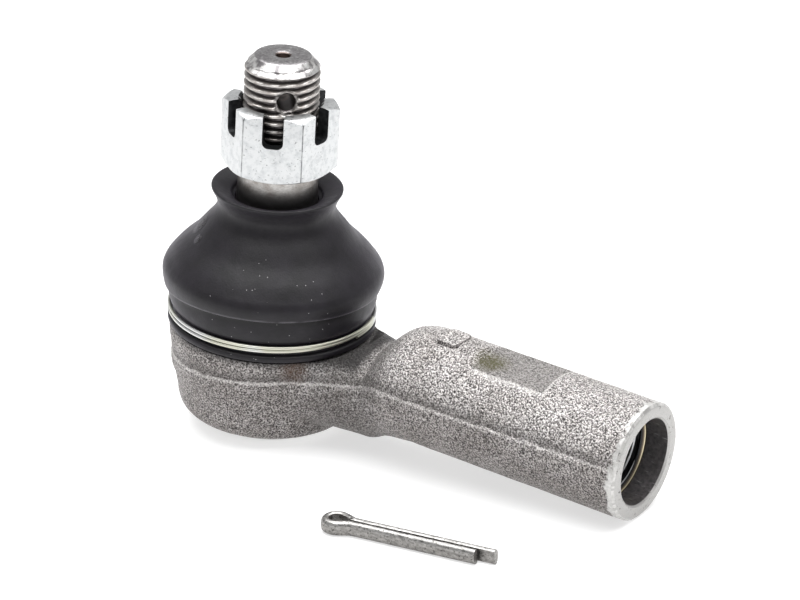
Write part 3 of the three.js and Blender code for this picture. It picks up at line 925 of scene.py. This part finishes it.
def paint_housing(housing):
    """Forged skin by default; machined steel where tools have been, painted shade in the bore."""
    wear(housing, forged_steel(), machined_steel(), shaded_bore())
    for face in housing.data.polygons:
        c = face.center / MM
        from_shank = math.hypot(c.y, c.z)
        from_stud = math.hypot(c.x, c.y)
        in_bore = 30 < c.x < SHANK_END - 0.3 and from_shank < COUNTERBORE_RADIUS + 0.1
        on_end = c.x > SHANK_END - 0.5 and from_shank < 10.75
        on_collar = from_stud < 17.2 and c.z > SHOULDER_Z - 0.05
        in_cavity = from_stud < 14.2 and -15.4 < c.z < 9
        on_foot = from_stud < 13.1 and c.z < -15.9
        if in_bore:
            face.material_index = 2
        elif on_end or on_collar or in_cavity or on_foot:
            face.material_index = 1


def build_housing():
    housing = head_blank()
    housing.name = "housing_forging"
    boolean(housing, bar_blank(), "UNION")
    for side in (1, -1):
        boolean(housing, flat_cutter(side), "DIFFERENCE")
    remesh = housing.modifiers.new("remesh", "REMESH")
    remesh.mode = "VOXEL"
    remesh.voxel_size = VOXEL * MM
    relax = housing.modifiers.new("relax", "SMOOTH")
    relax.factor = 0.5
    relax.iterations = 4
    apply_modifiers(housing)
    forge_surface(housing)
    boolean(housing, blank_pad(), "UNION")
    boolean(housing, boot_pocket(), "DIFFERENCE")
    boolean(housing, staked_rim(), "UNION")
    boolean(housing, boot_collar(), "UNION")
    boolean(housing, head_cavity(), "DIFFERENCE")
    boolean(housing, facing_cutter(), "DIFFERENCE")
    boolean(housing, threaded_bore(), "DIFFERENCE")
    paint_housing(housing)
    shade(housing, 32)
    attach(housing, "housing")
    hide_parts("housing")


# ------------ ball stud

def near_cotter_hole(angle, place):
    """1 on the crushed thread round the cotter hole's mouths, 0 away from them."""
    turn = math.radians(COTTER_HOLE_TURN)
    side = math.asin(math.sin(angle - turn)) * STUD_THREAD_RADIUS
    away = math.hypot(side, place - COTTER_HOLE_Z)
    return 1 - smoothstep(COTTER_HOLE_RADIUS + 0.5, COTTER_HOLE_RADIUS + 1.1, away)


def stud_thread_rows():
    """Stations of the threaded end, from the relief groove up to the chamfer."""
    def wall(place):
        limit = STUD_FLAT_RADIUS + (STUD_TOP - place) / CHAMFER_SLOPE
        fade = smoothstep(THREAD_START - 0.4, THREAD_START + 0.5, place)

        def radius(angle):
            phase = place / THREAD_PITCH - angle / (2 * math.pi)
            cut = STUD_THREAD_RADIUS - THREAD_DEPTH * thread_depth(phase)
            spot = Vector((math.cos(angle), math.sin(angle), place / 7)) * 7
            burr = STUD_THREAD_RADIUS - 0.3 + 0.3 * noise.noise(spot * 1.1)
            cut += (burr - cut) * near_cotter_hole(angle, place) * 0.85
            cut += 0.05 * noise.noise(spot * 0.8)
            cut = RELIEF_RADIUS + (cut - RELIEF_RADIUS) * fade
            return min(cut, limit)
        return radius

    rows = []
    place = THREAD_START - 0.6
    while place < STUD_TOP - 0.12:
        rows.append((wall(place), place))
        place += THREAD_PITCH / ROWS_PER_TURN
    return rows


def build_stud():
    taper_small = TAPER_RADIUS - (TAPER_TOP - TAPER_BOTTOM) * TAPER_RATIO / 2
    flat = math.degrees(math.asin(STUD_LOW.z / BALL_RADIUS))
    fillet = 0.8
    neck_angle = math.degrees(math.acos((NECK_RADIUS + fillet) / BALL_RADIUS))
    stations = [(0.0, STUD_LOW.z)]
    stations += arc(0, 0, BALL_RADIUS, flat, neck_angle, 40)
    stations.append((NECK_RADIUS, BALL_RADIUS * math.sin(math.radians(neck_angle)) + fillet))
    stations += smooth_curve([
        (NECK_RADIUS, 13.2), (6.3, 17.2), (7.5, 21.4), (TAPER_RADIUS, TAPER_BOTTOM),
    ], 12)
    stations += [
        (taper_small + 0.05, TAPER_TOP - 0.4), (taper_small - 0.25, TAPER_TOP),
        (RELIEF_RADIUS, TAPER_TOP + 0.5),
    ]
    stations += stud_thread_rows()
    stations += [
        (STUD_FLAT_RADIUS + 0.04, STUD_TOP - 0.05), (STUD_FLAT_RADIUS - 0.05, STUD_TOP),
        (1.62, STUD_TOP), (1.5, STUD_TOP - 0.06), (1.32, STUD_TOP - 0.25), (1.2, STUD_TOP - 1.2),
        (0.0, STUD_TOP - 2.0),
    ]
    stud = turned("threaded_ball_stud", stations, 180)
    reach = STUD_THREAD_RADIUS + 1
    sunk = STUD_THREAD_RADIUS - 0.75
    wide = COTTER_HOLE_RADIUS + 0.62
    hole = turned("cotter_hole", [
        (0.0, -reach), (wide + 0.6, -reach), (wide, -STUD_THREAD_RADIUS), (COTTER_HOLE_RADIUS, -sunk),
        (COTTER_HOLE_RADIUS, sunk), (wide, STUD_THREAD_RADIUS), (wide + 0.6, reach), (0.0, reach),
    ], 40, axis="X")
    hole.data.transform(Matrix.Rotation(math.radians(COTTER_HOLE_TURN), 4, "Z"))
    hole.data.transform(Matrix.Translation((0, 0, COTTER_HOLE_Z * MM)))
    boolean(stud, hole, "DIFFERENCE")
    wear(stud, stud_steel())
    shade(stud, 32)
    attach(stud, "stud")
    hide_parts("ball_stud")


# ------------ slotted nut

def hexagon_bar():
    """Six flats with rounded corners, a little taller than the nut."""
    corner = 0.45
    centre = (NUT_FLATS / 2 - corner) / math.cos(math.pi / 6)
    outline = []
    for k in range(6):
        turn = NUT_CORNER_TURN + 60 * k
        at = (centre * math.cos(math.radians(turn)), centre * math.sin(math.radians(turn)))
        outline += arc(*at, corner, turn - 30, turn + 30, 4)
    return slab("hexagon", outline, NUT_LOW.z - 1, NUT_HIGH.z + 1, axis="Z")


def slot_cutter(turn):
    """One castle slot right across the nut, with a rounded floor."""
    half = SLOT_WIDTH / 2
    corner = 1.15
    outline = [(half, NUT_HIGH.z + 2), (-half, NUT_HIGH.z + 2)]
    outline += arc(-half + corner, SLOT_FLOOR + corner, corner, 180, 270, 6)
    outline += arc(half - corner, SLOT_FLOOR + corner, corner, 270, 360, 6)
    cutter = slab("slot_cutter", outline, -14.0, 14.0)
    cutter.data.transform(Matrix.Rotation(math.radians(turn), 4, "Z"))
    return cutter


def nut_envelope():
    """The turned shape that the nut stays inside: a chamfered foot and a rounded crown."""
    low, high = NUT_LOW.z, NUT_HIGH.z
    profile = [
        (0.0, low), (NUT_FACE_RADIUS - 0.2, low), (NUT_FACE_RADIUS, low + 0.1),
        (NUT_CORNER_RADIUS + 0.2, low + 1.15),
    ]
    profile += smooth_curve([
        (NUT_CORNER_RADIUS + 0.2, high - 1.5), (NUT_CORNER_RADIUS - 0.35, high - 0.75),
        (NUT_CORNER_RADIUS - 1.1, high - 0.2), (8.6, high),
    ], 8)
    return turned("nut_envelope", profile + [(0.0, high)], 120)


def nut_bore():
    """Cutter for the nut's bore, chamfered at both mouths."""
    low, high = NUT_LOW.z, NUT_HIGH.z
    return turned("nut_bore", [
        (0.0, low - 1), (NUT_BORE + 1.4, low - 1), (NUT_BORE, low + 0.7), (NUT_BORE, high - 0.5),
        (NUT_BORE + 0.5, high), (NUT_BORE + 0.8, high + 1), (0.0, high + 1),
    ], 96)


def paint_nut(nut):
    """Bright plate outside; painted shade in the slots and the bore."""
    wear(nut, bright_zinc(), dark_recess())
    for face in nut.data.polygons:
        c = face.center / MM
        from_stud = math.hypot(c.x, c.y)
        radial = (face.normal.x * c.x + face.normal.y * c.y) / max(from_stud, 0.1)
        on_side = c.z > SLOT_FLOOR - 0.1 and radial < 0.35 and abs(face.normal.z) < 0.6
        on_floor = abs(c.z - SLOT_FLOOR) < 0.5 and face.normal.z > 0.3 and from_stud < 9.3
        in_bore = from_stud < NUT_BORE + 0.3 and abs(face.normal.z) < 0.9
        face.material_index = 1 if on_side or on_floor or in_bore else 0


def build_nut():
    nut = hexagon_bar()
    nut.name = "slotted_nut"
    boolean(nut, nut_envelope(), "INTERSECT")
    boolean(nut, nut_bore(), "DIFFERENCE")
    for k in range(3):
        boolean(nut, slot_cutter(NUT_CORNER_TURN + 30 + 60 * k + 90), "DIFFERENCE")
    soften = nut.modifiers.new("soften", "BEVEL")
    soften.width = 0.22 * MM
    soften.segments = 3
    soften.limit_method = "ANGLE"
    soften.angle_limit = math.radians(38)
    apply_modifiers(nut)
    paint_nut(nut)
    shade(nut, 40)
    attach(nut, "nut")
    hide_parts("castle_nut")


# ------------ dust boot and its ring

def crease_shift(angle, z):
    """How far the boot's fold sags, in millimetres: level in front, lower round the sides."""
    sideways = math.sin(angle - math.radians(FRONT_OF_BOOT))
    sag = (CREASE_SAG - CREASE_LEAN * sideways) * abs(sideways) ** 3
    near_fold = smoothstep(6.2, CREASE_Z, z) * (1 - smoothstep(CREASE_Z, 13.0, z))
    return -sag * near_fold


def boot_profile():
    """Section of the boot: flange, ring groove, waist, fold, dome, lip, then back down inside."""
    foot = BOOT_LOW.z
    profile = [
        (17.1, foot), (19.25, foot), (19.45, foot + 0.12), (19.5, foot + 0.35), (19.5, 3.2),
        (19.35, 3.45), (18.6, 3.7), (18.5, 4.0), (18.5, 5.6), (18.65, 5.85),
    ]
    profile += smooth_curve([
        (18.9, 6.0), (19.15, 6.5), (19.4, 7.6), (19.5, 8.8), (19.52, 10.0), (19.6, 10.55),
    ], 16)
    profile += smooth_curve([
        (19.75, 10.7), (19.98, 10.74), (20.15, 10.9), (20.3, 11.3), (20.5, 11.9), (20.58, 12.5),
        (20.48, 13.15), (20.15, 13.9), (19.6, 14.7), (17.93, 16.7), (15.37, 19.2), (13.4, 21.6),
        (11.62, 23.8), (10.94, 25.6), (11.3, 27.2), (11.9, 28.4),
    ], 84)
    profile += [(12.15, 28.85), (12.18, 29.1), (12.05, 29.26), (11.8, BOOT_HIGH.z), (11.4, 29.22)]
    profile += smooth_curve([(10.4, 28.75), (9.3, 28.3), (8.75, 28.05), (8.5, 27.75)], 8)
    profile += smooth_curve([(8.45, 27.45), (8.2, 27.2), (7.9, 27.05), (7.75, 26.95)], 6)
    profile += [(7.75, 26.8), (9.8, 26.8), (9.8, 25.1), (8.1, 25.1)]
    profile += smooth_curve([
        (8.1, 24.3), (9.4, 23.9), (10.6, 22.5), (12.2, 20.4), (14.2, 18.2), (16.5, 15.9),
        (18.0, 13.7), (18.4, 12.2), (18.0, 10.4), (17.1, 7.6),
    ], 40)
    profile += [(17.1, 5.6), (16.3, 5.5), (16.3, 4.2), (17.1, 4.1)]
    return profile


def build_boot():
    rings = []
    for radius, place in boot_profile():
        free = smoothstep(7.0, 13.0, place) * (1 - smoothstep(22.0, 27.0, place))
        ring = []
        for angle in around(192):
            swell = 0.1 * math.sin(2 * angle + 0.6) + 0.06 * math.sin(3 * angle + 2.0) - 0.08
            x, y = math.cos(angle), math.sin(angle)
            dent = 0.12 * free * noise.noise(Vector((2.2 * x, 2.2 * y, place * 0.17)))
            r = radius + free * swell + dent
            ring.append((r * x, r * y, place + crease_shift(angle, place)))
        rings.append(ring)
    boot = skin("rubber_dust_boot", rings, looped=True)
    wear(boot, boot_rubber())
    shade(boot, 50)
    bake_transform(boot)
    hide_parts("dust_boot")


def build_ring():
    """The retaining ring: a round wire wound about twice, stepping up as it crosses over."""
    radius = RING_HIGH.x - RING_WIRE / 2
    low = (RING_LOW.z + RING_HIGH.z - WIRE_PITCH) / 2
    thick = DRAWN_WIRE / 2
    steps = round(WIRE_TURNS * 160)
    sections = []
    for i in range(steps + 1):
        turn = WIRE_TURNS * i / steps
        height = low + WIRE_PITCH * min(max(turn - 0.5, 0.0), 1.0)
        angle = 2 * math.pi * turn
        section = []
        for round_wire in around(24):
            r = radius - thick * math.cos(round_wire)
            z = height + thick * math.sin(round_wire)
            section.append((r * math.cos(angle), r * math.sin(angle), z))
        sections.append(section)
    ring = skin("wire_ring", sections)
    wear(ring, wire_zinc())
    shade(ring, 50)
    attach(ring, "housing")
    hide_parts("boot_retaining_ring")


# ------------ cotter pin

def resting_plane():
    """The surface that the part rests on: its normal, its distance from the origin and its tilt."""
    lift = next(j for j in frame["joints"] if j["name"] == "pin_lift")
    normal = Vector(lift["axis"]).normalized()
    height = min(v.co.dot(normal) for v in frame["nodes"]["housing"].data.vertices)
    tilt = Matrix.Rotation(-math.atan2(-normal.x, normal.z), 4, "Y")
    return normal, height, tilt


def pin_centre_line():
    """Centre line of the half-round wire: one leg, round the eye, the other leg."""
    leg_side = PIN_SLIT / 2
    eye_half = PIN_EYE_WIDTH / 2 - PIN_WIDTH / 2

    def side(sign, leg):
        return [
            (PIN_EYE_LENGTH + leg, sign * leg_side), (PIN_EYE_LENGTH + leg * 0.5, sign * leg_side),
            (PIN_EYE_LENGTH + 1.2, sign * leg_side), (PIN_EYE_LENGTH - 0.6, sign * (leg_side + 0.35)),
            (PIN_EYE_LENGTH * 0.72, sign * eye_half * 0.75), (PIN_EYE_LENGTH * 0.5, sign * eye_half),
        ]

    near = PIN_WIDTH / 2
    crown = [(near + 0.35, eye_half * 0.72), (near, 0.0), (near + 0.35, -eye_half * 0.72)]
    return side(1, PIN_LONG_LEG) + crown + side(-1, PIN_SHORT_LEG)[::-1]


def pin_section():
    """The wire's half-round section: (out from the flat, up)."""
    radius = PIN_WIDTH / 2
    section = []
    for j in range(21):
        turn = math.radians(84 - 168 * j / 20)
        across, up = math.cos(turn), math.sin(turn)
        section.append((radius * across ** 0.6, math.copysign(radius * abs(up) ** 0.7, up)))
    return section + [(0.0, -radius + 0.22), (0.0, radius - 0.22)]


def build_pin():
    path = smooth_curve(pin_centre_line(), 220)
    section = pin_section()
    rings = []
    for i, (u, v) in enumerate(path):
        before = path[max(i - 1, 0)]
        after = path[min(i + 1, len(path) - 1)]
        along = Vector((after[0] - before[0], after[1] - before[1])).normalized()
        outward = (along.y, -along.x)
        rings.append([(u + outward[0] * out, v + outward[1] * out, up) for out, up in section])
    pin = skin("split_pin", rings)
    normal, height, tilt = resting_plane()
    pin.data.transform(Matrix.Rotation(math.radians(PIN_TURN), 4, "Z"))
    pin.data.transform(tilt)
    foot = Vector((PIN_PLACE[0] * MM, PIN_PLACE[1] * MM, 0))
    foot.z = (height - foot.x * normal.x) / normal.z
    pin.data.transform(Matrix.Translation(foot + normal * (PIN_WIDTH / 2 + 0.05) * MM))
    wear(pin, drawn_wire())
    shade(pin, 40)
    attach(pin, "loose_pin")
    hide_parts("cotter_pin")


# ------------ end cover and inner pieces

def build_cover():
    low = COVER_LOW.z
    edge = COVER_HIGH.x
    cover = turned("crimped_end_cover", [
        (0.0, low + 0.35), (3.2, low + 0.3), (4.2, low), (9.4, low), (10.2, low + 0.15),
        (11.0, low + 1.0), (11.5, low + 1.2), (edge, low + 1.2), (edge, low + 2.6), (12.1, low + 2.6),
        (10.9, low + 1.4), (4.4, low + 1.4), (0.0, low + 1.4),
    ], 128)
    wear(cover, pressed_steel())
    shade(cover, 30)
    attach(cover, "housing")
    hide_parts("end_cover")


def dress_inner_pieces():
    """The hidden pieces keep their CAD shape and take their real finishes."""
    resin = seat_resin()
    spring = dark_spring()
    finishes = {
        "upper_ball_seat": resin, "lower_ball_seat": resin, "seat_spring": spring, "boot_lip_ring": spring,
    }
    for node, material in finishes.items():
        wear(frame["nodes"][node], material)


# ------------ stage, lights and camera

def build_floor():
    """A white sweep: flat under the part, and falling away well outside it."""
    normal, height, tilt = resting_plane()
    points = [(0.0, 0.0, 0.0)]
    faces = []
    for k in range(FLOOR_RINGS):
        radius = FLOOR_RING_WIDTH * (k + 1)
        drop = -FLOOR_FALL * max(radius - FLOOR_FLAT, 0.0) ** 2
        for angle in around(FLOOR_SIDES):
            points.append((radius * math.cos(angle) / MM, radius * math.sin(angle) / MM, drop / MM))
        first = 1 + k * FLOOR_SIDES
        inner = first - FLOOR_SIDES
        for j in range(FLOOR_SIDES):
            nxt = (j + 1) % FLOOR_SIDES
            if k == 0:
                faces.append((0, first + j, first + nxt))
            else:
                faces.append((inner + j, first + j, first + nxt, inner + nxt))
    floor = make_object("floor", points, faces)
    floor.data.transform(tilt)
    floor.data.transform(Matrix.Translation(normal * height + Vector(FLOOR_SHIFT)))
    floor.data.shade_smooth()
    wear(floor, lit_white_table())


def build_lamp():
    """One large soft lamp overhead."""
    data = bpy.data.lights.new("top_softbox", "AREA")
    data.shape = "RECTANGLE"
    data.size, data.size_y = LAMP_SIZE
    data.energy = LAMP_POWER
    lamp = bpy.data.objects.new("top_softbox", data)
    lamp.location = LAMP_PLACE
    lamp.rotation_mode = "QUATERNION"
    lamp.rotation_quaternion = (Vector(LAMP_TARGET) - Vector(LAMP_PLACE)).to_track_quat("-Z", "Y")
    bpy.context.scene.collection.objects.link(lamp)


def build_sky():
    """White studio walls at the horizon, greyer above."""
    world = bpy.data.worlds.new("studio")
    bpy.context.scene.world = world
    world.use_nodes = True
    nodes, links = world.node_tree.nodes, world.node_tree.links
    direction = nodes.new("ShaderNodeTexCoord").outputs["Generated"]
    split = nodes.new("ShaderNodeSeparateXYZ")
    links.new(direction, split.inputs["Vector"])
    ramp = nodes.new("ShaderNodeValToRGB")
    links.new(split.outputs["Z"], ramp.inputs["Fac"])
    for element, (height, grey) in zip(ramp.color_ramp.elements, SKY):
        element.position = height
        element.color = (grey, grey, grey, 1.0)
    links.new(ramp.outputs["Color"], nodes["Background"].inputs["Color"])


def build_camera():
    azimuth, elevation = math.radians(VIEW_AZIMUTH), math.radians(VIEW_ELEVATION)
    forward = Vector((
        -math.sin(azimuth) * math.cos(elevation),
        math.cos(azimuth) * math.cos(elevation),
        -math.sin(elevation),
    ))
    data = bpy.data.cameras.new("camera")
    data.lens = LENS
    data.sensor_width = 36.0
    data.clip_start = 0.01
    camera = bpy.data.objects.new("camera", data)
    camera.location = (Vector(VIEW_TARGET) - forward * VIEW_DISTANCE) * MM
    camera.rotation_mode = "QUATERNION"
    roll = Quaternion((0, 0, 1), math.radians(VIEW_ROLL))
    camera.rotation_quaternion = forward.to_track_quat("-Z", "Y") @ roll
    bpy.context.scene.collection.objects.link(camera)
    bpy.context.scene.camera = camera


bpy.context.scene.view_settings.view_transform = "Standard"
build_camera()
build_housing()
build_stud()
build_nut()
build_boot()
build_ring()
build_pin()
build_cover()
dress_inner_pieces()
build_floor()
build_lamp()
build_sky()
